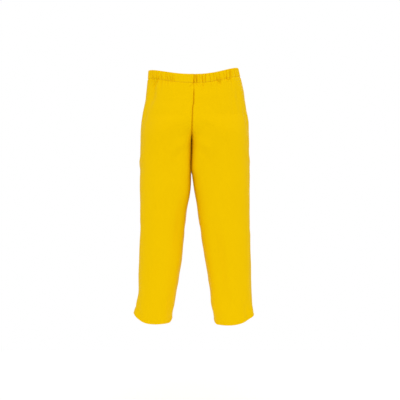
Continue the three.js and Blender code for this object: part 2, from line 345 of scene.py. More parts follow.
    def lay(self, side: Side, around: np.ndarray, level: np.ndarray,
            inset: float | np.ndarray = 0.0) -> np.ndarray:
        """Places a grid of points on the cloth.

        Args:
            side: Which half.
            around: Share of the way round, one for each column, or rows and columns.
            level: Heights, one for each row.
            inset: Distance inwards from the outer face, one for all or one for each row.

        Returns:
            Points as an array of rows, columns and coordinates.
        """
        around, level = np.asarray(around, float), np.asarray(level, float)
        r = {k: v[:, None] for k, v in self.ring(side, level).items()}
        u, s = np.atleast_2d(around), level[:, None]
        flat_x, behind, nx, ny = self.section(r, self.even_turn(r, u))
        meeting = smooth(s, -0.270, -0.300) * smooth(s, -0.448, -0.418)
        behind = behind * (1 - 0.075 * meeting * bell(np.maximum(flat_x, 0), 0.0046))
        y = self.middle(s) + behind
        line = self.centre(s)
        z = s + self.dip(side, u, s)
        place = np.stack([line + side.value * flat_x, y, z], axis=-1)
        normal = np.stack([side.value * nx, ny], axis=-1)
        out = sum(fold.press(place, normal) for fold in self.folds)
        out = out + self.ripple(place, s) + self.seams(flat_x, y - self.middle(s), u, s)
        out = out + GATHERS.press(side.value * u, s)
        touching = smooth(s, -0.440, -0.415) * smooth(s, CROTCH + 0.012, CROTCH)
        out = out * (1 - touching * smooth(flat_x, 0.012, 0.006))
        out = out - np.broadcast_to(np.asarray(inset, float).reshape(-1, 1), s.shape)
        sewn = bell(flat_x, 0.0020) * smooth(s, CROTCH - 0.002, CROTCH + 0.001)
        closest = np.where(s > CROTCH, self.seam_gap, self.leg_clearance)
        x = np.maximum(closest, flat_x + nx * out * (1 - sewn))
        return np.stack([line + side.value * x, y + ny * out, z], axis=-1)

    @staticmethod
    def ripple(place: np.ndarray, level: np.ndarray) -> np.ndarray:
        """Gentle unevenness of hanging cloth, calm under the band and at the hem."""
        x, y, z = place[..., 0], place[..., 1], place[..., 2]
        broad = np.sin(21 * x + 9 * z + 1.3) * np.sin(13 * z - 17 * y + 0.4)
        medium = np.sin(47 * x - 22 * z + 31 * y) * np.sin(29 * z + 38 * y + 2.1)
        small = np.sin(118 * x + 63 * z) * np.sin(91 * z - 104 * y + 0.9)
        calm = smooth(level, -0.04, -0.14) * (0.35 + 0.65 * smooth(level, -1.08, -0.99))
        return calm * (0.0016 * broad + 0.0007 * medium + 0.00018 * small)

    @staticmethod
    def seams(flat_x: np.ndarray, off: np.ndarray, around: np.ndarray,
              level: np.ndarray) -> np.ndarray:
        """Grooves and felled edges of the rise, outseam and inseam, and the hem's stitched line."""
        below = level <= CROTCH
        outseam = np.where((around > 0.35) & (around < 0.65), np.abs(off), 1.0)
        inseam = np.where(((around < 0.15) | (around > 0.85)) & (level < -0.45), np.abs(off), 1.0)
        rise = np.where(below, 1.0, np.abs(flat_x))
        sewn = np.minimum(np.minimum(outseam, inseam), rise)
        groove = -0.0013 * bell(sewn, 0.0014) + 0.0004 * smooth(sewn, 0.0095, 0.0080)
        sunk = smooth(level, -0.058, -0.085) * smooth(level, CROTCH - 0.004, CROTCH + 0.040)
        groove = groove - 0.0062 * bell(rise, 0.0036) * sunk
        hem_line = HEM + HEM_STITCH
        hem = -0.0007 * bell(level - hem_line, 0.0013)
        return groove + (hem + 0.0006 * smooth(level, hem_line + 0.001, HEM))


@dataclass(frozen=True)
class WaistGathers:
    """Irregular upright pleats of the elastic waistband, and the puckers that run on below it."""

    seed: int = 11
    pleats: int = 82
    calm_from: float = -0.148
    calm_to: float = -0.036

    def pattern(self) -> list[tuple[float, float, float, float, float, float]]:
        """Place, depth, width, slant, reach and upper share of each pleat, always the same."""
        rng = np.random.default_rng(self.seed)
        steps = rng.uniform(0.45, 1.6, self.pleats)
        places = -1 + 2 * np.cumsum(steps) / steps.sum()
        rows = []
        for place in places:
            deep = rng.uniform(0.0034, 0.0088)
            width = rng.uniform(0.0030, 0.0050)
            slant = rng.normal(0, 0.0075)
            reach = 0.007 + 0.030 * rng.random() ** 2.2
            upper = rng.uniform(0.35, 1.1)
            rows.append((float(place), deep, width, slant, reach, upper))
        return rows

    def press(self, turn: np.ndarray, level: np.ndarray) -> np.ndarray:
        """Works out how far the gathers move the cloth.

        Args:
            turn: Signed share of the way round the waist, 1 at the back centre.
            level: Heights.

        Returns:
            The distance outwards.
        """
        shape = np.broadcast(turn, level).shape
        total = np.zeros(shape)
        rows = (level > -0.13).ravel()
        if not rows.any():
            return total
        near = np.broadcast_to(level, (shape[0], 1))[rows]
        round_ = turn[rows] if turn.shape[0] == shape[0] else turn
        below = np.maximum(0, -BAND - near)
        up = np.clip((near + BAND) / BAND, 0, 1.1)
        part = np.zeros((int(rows.sum()), shape[1]))
        for place, deep, width, slant, reach, upper in self.pattern():
            gap = round_ - place - slant * (up - 0.5)
            gap = (gap + 1) % 2 - 1
            spread = width * (1 + 22 * below)
            fade = np.exp(-below / reach) * (1 + (upper - 1) * up)
            sharp = (gap / spread) ** 2
            part -= deep * fade * (0.72 * np.exp(-sharp) + 0.28 * np.exp(-sharp / 8))
        calm = 1 - 0.88 * smooth(round_, self.calm_from - 0.016, self.calm_from) * smooth(
            round_, self.calm_to + 0.016, self.calm_to)
        pinch = 1 - 0.45 * bell(near + BAND, 0.0040)
        line = -0.0015 * bell(near + BAND, 0.0021)
        total[rows] = (part + 0.0020) * calm * pinch * smooth(near, -0.13, -0.09) + line
        return total


GATHERS = WaistGathers()

FRONT_FOLDS = folds(FORWARD,
    (-0.146, -0.050, -0.174, -0.086, 0.0056, -0.0060),
    (-0.180, -0.080, -0.183, -0.178, 0.0120, -0.0046),
    (-0.168, -0.060, -0.170, -0.135, 0.0120, -0.0085),
    (-0.170, -0.068, -0.075, -0.066, 0.0130, -0.0036),
    (0.152, -0.120, 0.168, -0.215, 0.0070, -0.0020),
    (0.186, -0.066, 0.205, -0.250, 0.0090, 0.0026),
    (0.172, -0.080, 0.190, -0.190, 0.0100, -0.0020),
    (0.094, -0.056, 0.103, -0.078, 0.0036, -0.0056),
    (0.103, -0.078, 0.113, -0.055, 0.0036, -0.0056),
    (0.103, -0.058, 0.103, -0.068, 0.0040, 0.0018),
    (0.133, -0.050, 0.140, -0.066, 0.0036, -0.0052),
    (0.140, -0.066, 0.152, -0.050, 0.0036, -0.0048),
    (-0.001, -0.072, -0.015, -0.092, 0.0038, -0.0058),
    (-0.003, -0.064, 0.010, -0.086, 0.0036, -0.0034),
    (0.040, -0.246, 0.056, -0.258, 0.0160, -0.0028),
    (-0.196, -0.230, -0.184, -0.250, 0.0160, -0.0026),
    (-0.018, -0.300, -0.090, -0.352, 0.0150, 0.0034),
    (-0.022, -0.330, -0.085, -0.392, 0.0130, -0.0030),
    (0.004, -0.300, 0.075, -0.346, 0.0150, 0.0030),
    (0.006, -0.334, 0.070, -0.398, 0.0130, -0.0028),
    (0.082, -0.650, 0.128, -0.990, 0.0240, -0.0080),
    (0.130, -0.700, 0.170, -0.960, 0.0220, 0.0030),
    (-0.050, -0.556, -0.072, -0.745, 0.0180, -0.0064),
    (-0.090, -0.600, -0.104, -0.760, 0.0260, 0.0020),
    (-0.100, -0.950, -0.106, -1.060, 0.0120, -0.0030),
    (-0.236, -0.985, -0.222, -1.060, 0.0110, -0.0034),
    (0.214, -0.990, 0.226, -1.065, 0.0130, -0.0046),
    (0.240, -0.985, 0.246, -1.050, 0.0090, 0.0030),
    (-0.150, -0.420, -0.158, -0.900, 0.0550, 0.0036),
    (0.150, -0.420, 0.160, -0.900, 0.0550, 0.0036),
)

BACK_FOLDS = folds(BACKWARD,
    (0.020, -0.300, 0.110, -0.372, 0.0120, -0.0062),
    (-0.030, -0.296, -0.122, -0.366, 0.0120, -0.0066),
    (0.030, -0.340, 0.150, -0.410, 0.0150, 0.0046),
    (-0.034, -0.338, -0.150, -0.404, 0.0150, 0.0050),
    (0.020, -0.380, 0.120, -0.452, 0.0140, -0.0042),
    (-0.030, -0.384, -0.116, -0.446, 0.0140, -0.0040),
    (0.060, -0.080, 0.120, -0.190, 0.0170, -0.0034),
    (-0.050, -0.080, -0.130, -0.176, 0.0170, -0.0036),
    (0.150, -0.075, 0.176, -0.230, 0.0140, 0.0030),
    (-0.146, -0.075, -0.180, -0.220, 0.0140, 0.0032),
    (0.050, -0.636, 0.190, -0.652, 0.0110, -0.0050),
    (-0.052, -0.640, -0.186, -0.650, 0.0110, -0.0050),
    (0.058, -0.672, 0.176, -0.666, 0.0120, 0.0044),
    (-0.060, -0.668, -0.190, -0.676, 0.0120, 0.0044),
    (0.066, -0.700, 0.200, -0.712, 0.0110, -0.0046),
    (-0.070, -0.704, -0.182, -0.706, 0.0110, -0.0044),
    (0.120, -0.760, 0.178, -0.900, 0.0200, -0.0030),
    (-0.126, -0.770, -0.170, -0.930, 0.0200, -0.0030),
    (0.140, -0.940, 0.180, -1.060, 0.0150, -0.0030),
    (-0.150, -0.930, -0.186, -1.060, 0.0150, 0.0030),
)

SIDE_FOLDS = folds(LEFTWARD,
    (-0.055, -0.110, -0.030, -0.280, 0.0150, -0.0034),
    (0.060, -0.120, 0.040, -0.300, 0.0170, -0.0034),
    (-0.050, -0.360, 0.060, -0.420, 0.0170, 0.0036),
    (0.062, -0.630, -0.010, -0.668, 0.0110, -0.0040),
    (0.064, -0.706, -0.006, -0.680, 0.0110, -0.0036),
    (-0.030, -0.800, -0.018, -0.960, 0.0200, -0.0028),
) + folds(RIGHTWARD,
    (-0.060, -0.120, -0.034, -0.260, 0.0150, -0.0036),
    (0.056, -0.110, 0.044, -0.290, 0.0170, -0.0030),
    (-0.056, -0.370, 0.064, -0.430, 0.0170, 0.0036),
    (0.062, -0.634, -0.012, -0.670, 0.0110, -0.0040),
    (0.064, -0.704, -0.008, -0.684, 0.0110, -0.0036),
    (-0.026, -0.810, -0.020, -0.950, 0.0200, -0.0028),
)


class Sewing:
    """Turns grids of points into closed sheets."""

    @staticmethod
    def chart(across: np.ndarray, down: np.ndarray) -> np.ndarray:
        """Length round and height of each point of a grid, for the weave."""
        return np.stack(np.meshgrid(across, down), axis=-1)

    @staticmethod
    def outward(grid: np.ndarray, side: Side, ring: bool) -> np.ndarray:
        """Outward directions of a grid of rows and columns.

        Args:
            grid: Points.
            side: Which half, since a mirrored grid turns the other way.
            ring: Whether the last column joins the first.

        Returns:
            Unit vectors, one for each point.
        """
        if ring:
            wide = np.concatenate([grid[:, -2:-1], grid, grid[:, 1:2]], axis=1)
            along = (wide[:, 2:] - wide[:, :-2]) / 2
        else:
            along = np.gradient(grid, axis=1)
        down = np.gradient(grid, axis=0)
        n = np.cross(along, down) * side.value
        return n / np.maximum(np.linalg.norm(n, axis=-1, keepdims=True), 1e-12)

    @staticmethod
    def sheet(name: str, outer: np.ndarray, inner: np.ndarray, chart: np.ndarray, side: Side,
              loop: bool = False) -> bpy.types.Object:
        """Makes a closed sheet from its outer and inner grids.

        Args:
            name: The piece's name.
            outer: Points of the outer face, rows and columns.
            inner: Points of the inner face, the same rows and columns.
            chart: Length round and height of each point, for the weave.
            side: Which half, which sets the winding.
            loop: Whether the last column joins the first.

        Returns:
            The new object. Faces of the inner side use the second material slot.
        """
        rows, cols = outer.shape[:2]
        count = rows * cols
        points = np.concatenate([outer.reshape(-1, 3), inner.reshape(-1, 3)])
        last = cols if loop else cols - 1
        i, j = np.meshgrid(np.arange(rows - 1), np.arange(last), indexing="ij")
        k = (j + 1) % cols
        a, b = (i * cols + j).ravel(), (i * cols + k).ravel()
        c, d = ((i + 1) * cols + k).ravel(), ((i + 1) * cols + j).ravel()
        face_out = np.stack([a, d, c, b], axis=1)
        face_in = np.stack([a, b, c, d], axis=1) + count
        rims = []
        top, bottom = np.arange(last), np.arange(last) + (rows - 1) * cols
        nxt = (np.arange(last) + 1) % cols
        rims.append(np.stack([top, nxt, nxt + count, top + count], axis=1))
        low = nxt + (rows - 1) * cols
        rims.append(np.stack([bottom, bottom + count, low + count, low], axis=1))
        if not loop:
            e = np.arange(rows - 1) * cols
            rims.append(np.stack([e, e + count, e + cols + count, e + cols], axis=1))
            f = e + cols - 1
            rims.append(np.stack([f, f + cols, f + cols + count, f + count], axis=1))
        faces = np.concatenate([face_out, face_in] + rims)
        if side is Side.RIGHT:
            faces = faces[:, ::-1]
        mesh = bpy.data.meshes.new(name)
        mesh.from_pydata(points.tolist(), [], faces.tolist())
        mesh.polygons.foreach_set("use_smooth", np.ones(len(faces), bool))
        slot_of = np.zeros(len(faces), np.int32)
        slot_of[len(face_out):len(face_out) + len(face_in)] = 1
        mesh.polygons.foreach_set("material_index", slot_of)
        weave = mesh.uv_layers.new(name="Weave")
        corner = np.empty(len(mesh.loops), np.int32)
        mesh.loops.foreach_get("vertex_index", corner)
        flat = np.concatenate([chart.reshape(-1, 2), chart.reshape(-1, 2)])
        weave.data.foreach_set("uv", flat[corner].astype(np.float32).ravel())
        Sewing.sharpen_rims(mesh, len(face_out) + len(face_in))
        obj = show(bpy.data.objects.new(name, mesh))
        mesh.update()
        mesh.validate()
        return obj

    @staticmethod
    def sharpen_rims(mesh: bpy.types.Mesh, first_rim: int) -> None:
        """Marks the edges of the rim faces sharp, so that the cloth's faces shade smoothly."""
        mesh.update()
        rim_edges = set()
        for poly in mesh.polygons[first_rim:]:
            rim_edges.update(poly.edge_keys)
        flags = np.array([e.key in rim_edges for e in mesh.edges], bool)
        sharp = mesh.attributes.new("sharp_edge", "BOOLEAN", "EDGE")
        sharp.data.foreach_set("value", flags)


@dataclass
class ClothPanels:
    """The four cloth panels of the trousers, each in an upper and a lower piece."""

    form: TrouserForm
    columns: int = 150
    row: float = 0.0038
    usual_girth: float = 0.66
    seam_steps: tuple[float, ...] = (0.0007, 0.0014, 0.0022, 0.0034, 0.0052, 0.0076, 0.0105)

    def turns(self) -> np.ndarray:
        """Turn values round one half, closer together beside the seams."""
        base = np.linspace(0, 1, 2 * self.columns + 1)
        near = np.array(self.seam_steps) / self.usual_girth
        marks = np.concatenate([near, 0.5 - near, 0.5 + near, 1 - near])
        far = np.min(np.abs(base[:, None] - np.array([0, 0.5, 1])[None]), axis=1)
        keep = base[(far < 1e-9) | (far > self.seam_steps[-1] / self.usual_girth + 0.002)]
        return np.unique(np.round(np.concatenate([keep, marks]), 6))

    def levels(self) -> np.ndarray:
        """Heights of the rows, closer together under the band, at the crotch and at the hem."""
        top = np.array([-0.0340, -0.0355, -0.0370, -0.0380, -0.0390, -0.0405, -0.0425, -0.0450])
        body = np.arange(-0.0475, -0.3120, -0.0030)
        crotch = CROTCH + np.array([0.0115, 0.0095, 0.0077, 0.0061, 0.0047, 0.0035, 0.0024, 0.0015,
                                    0.0008, 0.0003, 0.0, -0.0010, -0.0024])
        leg = np.arange(CROTCH - 0.0055, -1.0600, -self.row)
        hem = HEM + np.array([0.0160, 0.0130, 0.0110, 0.0098, 0.0092, 0.0085, 0.0078, 0.0070,
                              0.0058, 0.0040, 0.0022, 0.0010, 0.0003, 0.0])
        return np.concatenate([top, body, crotch, leg, [SPLIT], hem])

    def cut(self, side: Side) -> dict[str, bpy.types.Object]:
        """Makes the pieces of one half.

        Args:
            side: Which half.

        Returns:
            The pieces by their names.
        """
        us = self.turns()
        levels = np.unique(np.round(self.levels(), 6))[::-1]
        tuck = 0.0009 * smooth(levels, -0.0380, -0.0368)
        edge = 0.0005 * smooth(levels, HEM + 0.0012, HEM)
        outer = self.form.lay(side, us, levels, tuck + edge)
        normal = self.outward(side, outer, levels)
        inner = outer - normal * CLOTH
        line = self.form.centre(levels)[:, None]
        clear = side.value * (inner[..., 0] - line)
        inner[..., 0] = line + side.value * np.maximum(clear, 0.0003)
        chart = Sewing.chart(side.value * us * 0.5, levels)
        made = {}
        for face in Face:
            low, high = face.value
            keep = (us >= low - 1e-9) & (us <= high + 1e-9)
            for part, rows in (("upper", levels >= SPLIT - 1e-9),
                               ("lower", levels <= SPLIT + 1e-9)):
                name = f"{face.word}_panel_{part}_{side.word}"
                pick = np.ix_(rows, keep)
                made[name] = Sewing.sheet(name, outer[pick], inner[pick], chart[pick], side)
        return made

    @staticmethod
    def outward(side: Side, grid: np.ndarray, levels: np.ndarray) -> np.ndarray:
        """Outward directions: a closed ring below the crotch, an open half above it."""
        ringed = Sewing.outward(grid, side, True)
        opened = Sewing.outward(grid, side, False)
        return np.where((levels < CROTCH)[:, None, None], ringed, opened)


def show(obj: bpy.types.Object) -> bpy.types.Object:
    """Links an object into the scene."""
    bpy.context.scene.collection.objects.link(obj)
    return obj


def dress(obj: bpy.types.Object, *materials: bpy.types.Material) -> None:
    """Puts materials on a piece's slots in order."""
    obj.data.materials.clear()
    for material in materials:
        obj.data.materials.append(material)


@dataclass
class Hanging:
    """Bakes each leg piece's transform into its mesh."""

    slant: float = math.radians(25)
    length: float = 0.215

    def upper(self, obj: bpy.types.Object, side: Side) -> None:
        """Bakes an upper piece's transform into its mesh."""
        f"thigh_{side.word}"
        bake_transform(obj)

    def lower(self, obj: bpy.types.Object, side: Side) -> None:
        """Bakes a lower piece's transform into its mesh."""
        f"thigh_{side.word}"
        f"shin_{side.word}"
        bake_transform(obj)


@dataclass
class Waistband:
    """The gathered casing, the elastic in it and its stitching."""

    form: TrouserForm
    depth: float = 0.0052
    columns: int = 620
    elastic_faces: tuple[float, float] = (0.0022, 0.0032)

    def path(self) -> tuple[np.ndarray, np.ndarray]:
        """Levels and insets of the casing's outer face, from outside over the top to inside."""
        outer = [(-BAND + rise, 0.0) for rise in (0.0002, 0.0012, 0.0028)]
        outer += [(s, 0.0) for s in np.linspace(-BAND + 0.005, -0.0035, 12)]
        turn = self.depth / 2
        arc = [(-turn + turn * math.sin(a), turn * (1 - math.cos(a)))
               for a in np.linspace(0.25, math.pi - 0.25, 7)]
        inner = [(s, self.depth) for s in np.linspace(-0.0045, -BAND + 0.002, 9)]
        rows = np.array(outer + arc + inner)
        return rows[:, 0], rows[:, 1]

    def casing(self, side: Side) -> bpy.types.Object:
        """Makes one half of the folded casing.

        Args:
            side: Which half.

        Returns:
            The closed sheet.
        """
        us = np.linspace(0, 1, self.columns)
        level, inset = self.path()
        outer = self.form.lay(side, us, level, inset)
        shift = np.gradient(np.stack([inset, level], axis=1), axis=0)
        shift /= np.linalg.norm(shift, axis=1, keepdims=True)
        inner = self.form.lay(side, us, level - CLOTH * shift[:, 0],
                              inset + CLOTH * shift[:, 1])
        chart = Sewing.chart(side.value * us * 0.5, level - inset)
        flip = Side.RIGHT if side is Side.LEFT else Side.LEFT
        return Sewing.sheet(f"casing_cloth_{side.word}", outer, inner, chart, flip)

    def elastic(self) -> bpy.types.Object:
        """Makes the closed loop of elastic inside the casing."""
        us = np.linspace(0, 1, self.columns)
        level = np.linspace(-0.0045, -0.0325, 8)
        half = {}
        for side in Side:
            half[side] = [self.form.lay(side, us, level, inset) for inset in self.elastic_faces]
        parts = []
        for layer in (0, 1):
            left = half[Side.LEFT][layer][:, 1:-1]
            right = half[Side.RIGHT][layer][:, ::-1].copy()
            right[:, [0, -1], 0] = self.form.centre(level)[:, None]
            parts.append(np.concatenate([left, right], axis=1))
        cols = parts[0].shape[1]
        chart = Sewing.chart(np.linspace(0, 1, cols), level)
        return Sewing.sheet("waist_elastic_loop", parts[0], parts[1], chart, Side.LEFT, loop=True)

    def stitch_path(self, level: float) -> np.ndarray:
        """Points of a stitched line right round the band."""
        us = np.linspace(0, 1, 420)
        right = self.form.lay(Side.RIGHT, us, np.array([level]), -0.0001)[0]
        left = self.form.lay(Side.LEFT, us, np.array([level]), -0.0001)[0]
        return np.concatenate([right, left[::-1][1:-1]])


@dataclass
class Hems:
    """The narrow turned hem at the foot of each leg."""

    form: TrouserForm
    height: float = 0.012

    def turn_up(self, side: Side) -> bpy.types.Object:
        """Makes the cloth turned up inside one leg.

        Args:
            side: Which leg.

        Returns:
            The closed loop of cloth.
        """
        us = np.linspace(0, 1, 261)[:-1]
        rises = [self.height, 0.0100, 0.0085, 0.0070, 0.005, 0.003, 0.0012, 0.0002]
        level = HEM + np.array(rises)
        base = CLOTH + 0.0004 + 0.0006 * smooth(level, HEM + 0.007, HEM)
        outer = self.form.lay(side, us, level, base)
        inner = self.form.lay(side, us, level, base + CLOTH)
        chart = Sewing.chart(us * 0.5, level)
        return Sewing.sheet(f"hem_turn_up_cloth_{side.word}", outer, inner, chart, side, loop=True)

    def stitch_path(self, side: Side) -> np.ndarray:
        """Points of the stitched line round one hem."""
        us = np.linspace(0, 1, 301)[:-1]
        return self.form.lay(side, us, np.array([HEM + HEM_STITCH]), -0.0001)[0]


@dataclass
class SeamTapes:
    """Sealing tapes inside the shell, over the seams."""

    form: TrouserForm
    half_width: float = 0.009
    thickness: float = 0.0004
    gap: float = 0.0006

    def faces(self) -> tuple[float, float]:
        """Insets of a tape's outer and inner face."""
        return CLOTH + self.gap, CLOTH + self.gap + self.thickness

    @staticmethod
    def rows(top: float, bottom: float, step: float) -> np.ndarray:
        """Levels of a tape's rows, from the top down."""
        return np.unique(np.round(np.append(np.arange(bottom, top, step), top), 6))[::-1]

    def along_leg(self, name: str, side: Side, around: float, top: float,
                  bottom: float) -> bpy.types.Object:
        """Makes a tape down the outseam or the inseam.

        Args:
            name: The piece's name.
            side: Which leg.
            around: Turn of the seam, 0.5 outside or 0 inside.
            top: Level of its upper end.
            bottom: Level of its lower end.

        Returns:
            The closed strip.
        """
        level = self.rows(top, bottom, 0.005)
        reach = self.half_width / (2 * self.form.girth(side, level))[:, None]
        us = around + reach * np.linspace(-1, 1, 7)[None, :]
        us = np.where(us < 0, us + 1, us)
        outer, inner = (self.form.lay(side, us, level, inset) for inset in self.faces())
        chart = Sewing.chart(np.linspace(0, 2 * self.half_width, 7), level)
        return Sewing.sheet(name, outer, inner, chart, side)

    def along_rise(self, name: str, face: Face, top: float, bottom: float) -> bpy.types.Object:
        """Makes a tape over the front or back rise seam, across the centre.

        Args:
            name: The piece's name.
            face: Front or back.
            top: Level of its upper end.
            bottom: Level of its lower end.

        Returns:
            The closed strip.
        """
        level = self.rows(top, bottom, 0.004)
        layers = []
        for inset in self.faces():
            halves = []
            for side in Side:
                reach = self.half_width / (2 * self.form.girth(side, level))[:, None]
                us = reach * np.linspace(0, 1, 4)[None, :]
                us = us if face is Face.FRONT else 1 - us
                halves.append(self.form.lay(side, us, level, inset))
            middle = (halves[0][:, :1] + halves[1][:, :1]) / 2
            layers.append(np.concatenate([halves[0][:, :0:-1], middle, halves[1][:, 1:]], axis=1))
        chart = Sewing.chart(np.linspace(0, 2 * self.half_width, 7), level)
        turn = Side.LEFT if face is Face.FRONT else Side.RIGHT
        return Sewing.sheet(name, layers[0], layers[1], chart, turn)


@dataclass
class StitchRun:
    """A row of sewn stitches round a closed line, made with Geometry Nodes."""

    pitch: float = 0.0034
    length: float = 0.0026
    radius: float = 0.00038
    wobble: float = 0.10
    seed: int = 5

    def inputs(self) -> dict[str, float | int]:
        """The node tree's named inputs and their values."""
        return {"Pitch": self.pitch, "Length": self.length, "Radius": self.radius,
                "Seed": self.seed}

    def tree(self, thread: bpy.types.Material) -> bpy.types.NodeTree:
        """Builds the node tree that sets a short thread at each stitch.

        Args:
            thread: The stitches' material.

        Returns:
            The tree, with inputs named Pitch, Length, Radius and Seed.
        """
        tree = bpy.data.node_groups.new("sewn_stitches", "GeometryNodeTree")
        face = tree.interface
        face.new_socket("Geometry", in_out="INPUT", socket_type="NodeSocketGeometry")
        for name, value in self.inputs().items():
            kind = "NodeSocketInt" if name == "Seed" else "NodeSocketFloat"
            face.new_socket(name, in_out="INPUT", socket_type=kind).default_value = value
        face.new_socket("Geometry", in_out="OUTPUT", socket_type="NodeSocketGeometry")

        def add(kind: str, **settings: object) -> bpy.types.Node:
            """Adds a node and gives it its settings."""
            node = tree.nodes.new(kind)
            for key, value in settings.items():
                setattr(node, key, value)
            return node

        source, result = add("NodeGroupInput"), add("NodeGroupOutput")
        curve = add("GeometryNodeMeshToCurve")
        step = add("GeometryNodeResampleCurve", mode="LENGTH")
        place = add("GeometryNodeInstanceOnPoints")
        tangent = add("GeometryNodeInputTangent")
        turn = add("FunctionNodeAlignEulerToVector", axis="Z")
        wobble = add("FunctionNodeRandomValue", data_type="FLOAT")
        lean = add("ShaderNodeCombineXYZ")
        tilt = add("FunctionNodeRotateEuler", rotation_type="EULER", space="LOCAL")
        capsule = add("GeometryNodeMeshUVSphere")
        shape = add("ShaderNodeCombineXYZ")
        half = add("ShaderNodeMath", operation="MULTIPLY")
        scale = add("GeometryNodeTransform")
        real = add("GeometryNodeRealizeInstances")
        finish = add("GeometryNodeSetMaterial")
        smoothed = add("GeometryNodeSetShadeSmooth")
        wobble.inputs["Min"].default_value = -self.wobble
        wobble.inputs["Max"].default_value = self.wobble
        capsule.inputs["Segments"].default_value = 6
        capsule.inputs["Rings"].default_value = 4
        capsule.inputs["Radius"].default_value = 1.0
        half.inputs[1].default_value = 0.5
        finish.inputs["Material"].default_value = thread
        for giver, output, taker, entry in (
            (source, "Geometry", curve, "Mesh"), (curve, "Curve", step, "Curve"),
            (source, "Pitch", step, "Length"), (step, "Curve", place, "Points"),
            (tangent, "Tangent", turn, "Vector"), (source, "Seed", wobble, "Seed"),
            (wobble, 1, lean, "X"), (turn, "Rotation", tilt, "Rotation"),
            (lean, "Vector", tilt, "Rotate By"), (tilt, "Rotation", place, "Rotation"),
            (source, "Length", half, 0), (source, "Radius", shape, "X"),
            (source, "Radius", shape, "Y"), (half, "Value", shape, "Z"),
            (capsule, "Mesh", scale, "Geometry"), (shape, "Vector", scale, "Scale"),
            (scale, "Geometry", place, "Instance"), (place, "Instances", real, "Geometry"),
            (real, "Geometry", smoothed, "Geometry"), (smoothed, "Geometry", finish, "Geometry"),
            (finish, "Geometry", result, "Geometry"),
        ):
            tree.links.new(giver.outputs[output], taker.inputs[entry])
        return tree

    def sew(self, name: str, line: np.ndarray,
            thread: bpy.types.Material) -> bpy.types.Object:
        """Sews right round a closed line.

        Args:
            name: The piece's name.
            line: Points on the cloth's face.
            thread: The stitches' material.

        Returns:
            A plain mesh of the stitches.
        """
        count = len(line)
        edges = [(i, (i + 1) % count) for i in range(count)]
        guide_mesh = bpy.data.meshes.new(f"{name}_line")
        guide_mesh.from_pydata(line.tolist(), edges, [])
        guide = show(bpy.data.objects.new(f"{name}_line", guide_mesh))
        tree = self.tree(thread)
        modifier = guide.modifiers.new("stitches", "NODES")
        modifier.node_group = tree
        values = self.inputs()
        for item in tree.interface.items_tree:
            if item.in_out == "INPUT" and item.name in values:
                modifier[item.identifier] = values[item.name]
        bpy.context.view_layer.update()
        graph = bpy.context.evaluated_depsgraph_get()
        mesh = bpy.data.meshes.new_from_object(guide.evaluated_get(graph), depsgraph=graph)
        bpy.data.objects.remove(guide)
        mesh.name = name
        obj = show(bpy.data.objects.new(name, mesh))
        if not mesh.materials:
            mesh.materials.append(thread)
        return obj


class Wire:
    """A shader socket that adds Math nodes when it is used in an expression."""

    def __init__(self, tree: bpy.types.NodeTree, socket: bpy.types.NodeSocket) -> None:
        """Holds the tree and the socket."""
        self.tree = tree
        self.socket = socket

    def math(self, operation: str, other: "Wire | float", swap: bool = False,
             clamp: bool = False) -> "Wire":
        """Adds one Math node.

        Args:
            operation: The Math node's operation.
            other: A socket or a number.
            swap: Whether the other value comes first.
            clamp: Whether the result stays between 0 and 1.

        Returns:
            The node's result.
        """
        node = self.tree.nodes.new("ShaderNodeMath")
        node.operation = operation
        node.use_clamp = clamp
        order = (1, 0) if swap else (0, 1)
        self.tree.links.new(self.socket, node.inputs[order[0]])
        if isinstance(other, Wire):
            self.tree.links.new(other.socket, node.inputs[order[1]])
        else:
            node.inputs[order[1]].default_value = float(other)
        return Wire(self.tree, node.outputs[0])

    def __add__(self, other: "Wire | float") -> "Wire":
        """Sum."""
        return self.math("ADD", other)

    __radd__ = __add__

    def __sub__(self, other: "Wire | float") -> "Wire":
        """Difference."""
        return self.math("SUBTRACT", other)

    def __rsub__(self, other: float) -> "Wire":
        """Difference from a number."""
        return self.math("SUBTRACT", other, swap=True)

    def __mul__(self, other: "Wire | float") -> "Wire":
        """Product."""
        return self.math("MULTIPLY", other)

    __rmul__ = __mul__

    def sine(self) -> "Wire":
        """Sine of the value."""
        return self.math("SINE", 0.0)

    def bounded(self) -> "Wire":
        """The value held between 0 and 1."""
        return self.math("ADD", 0.0, clamp=True)


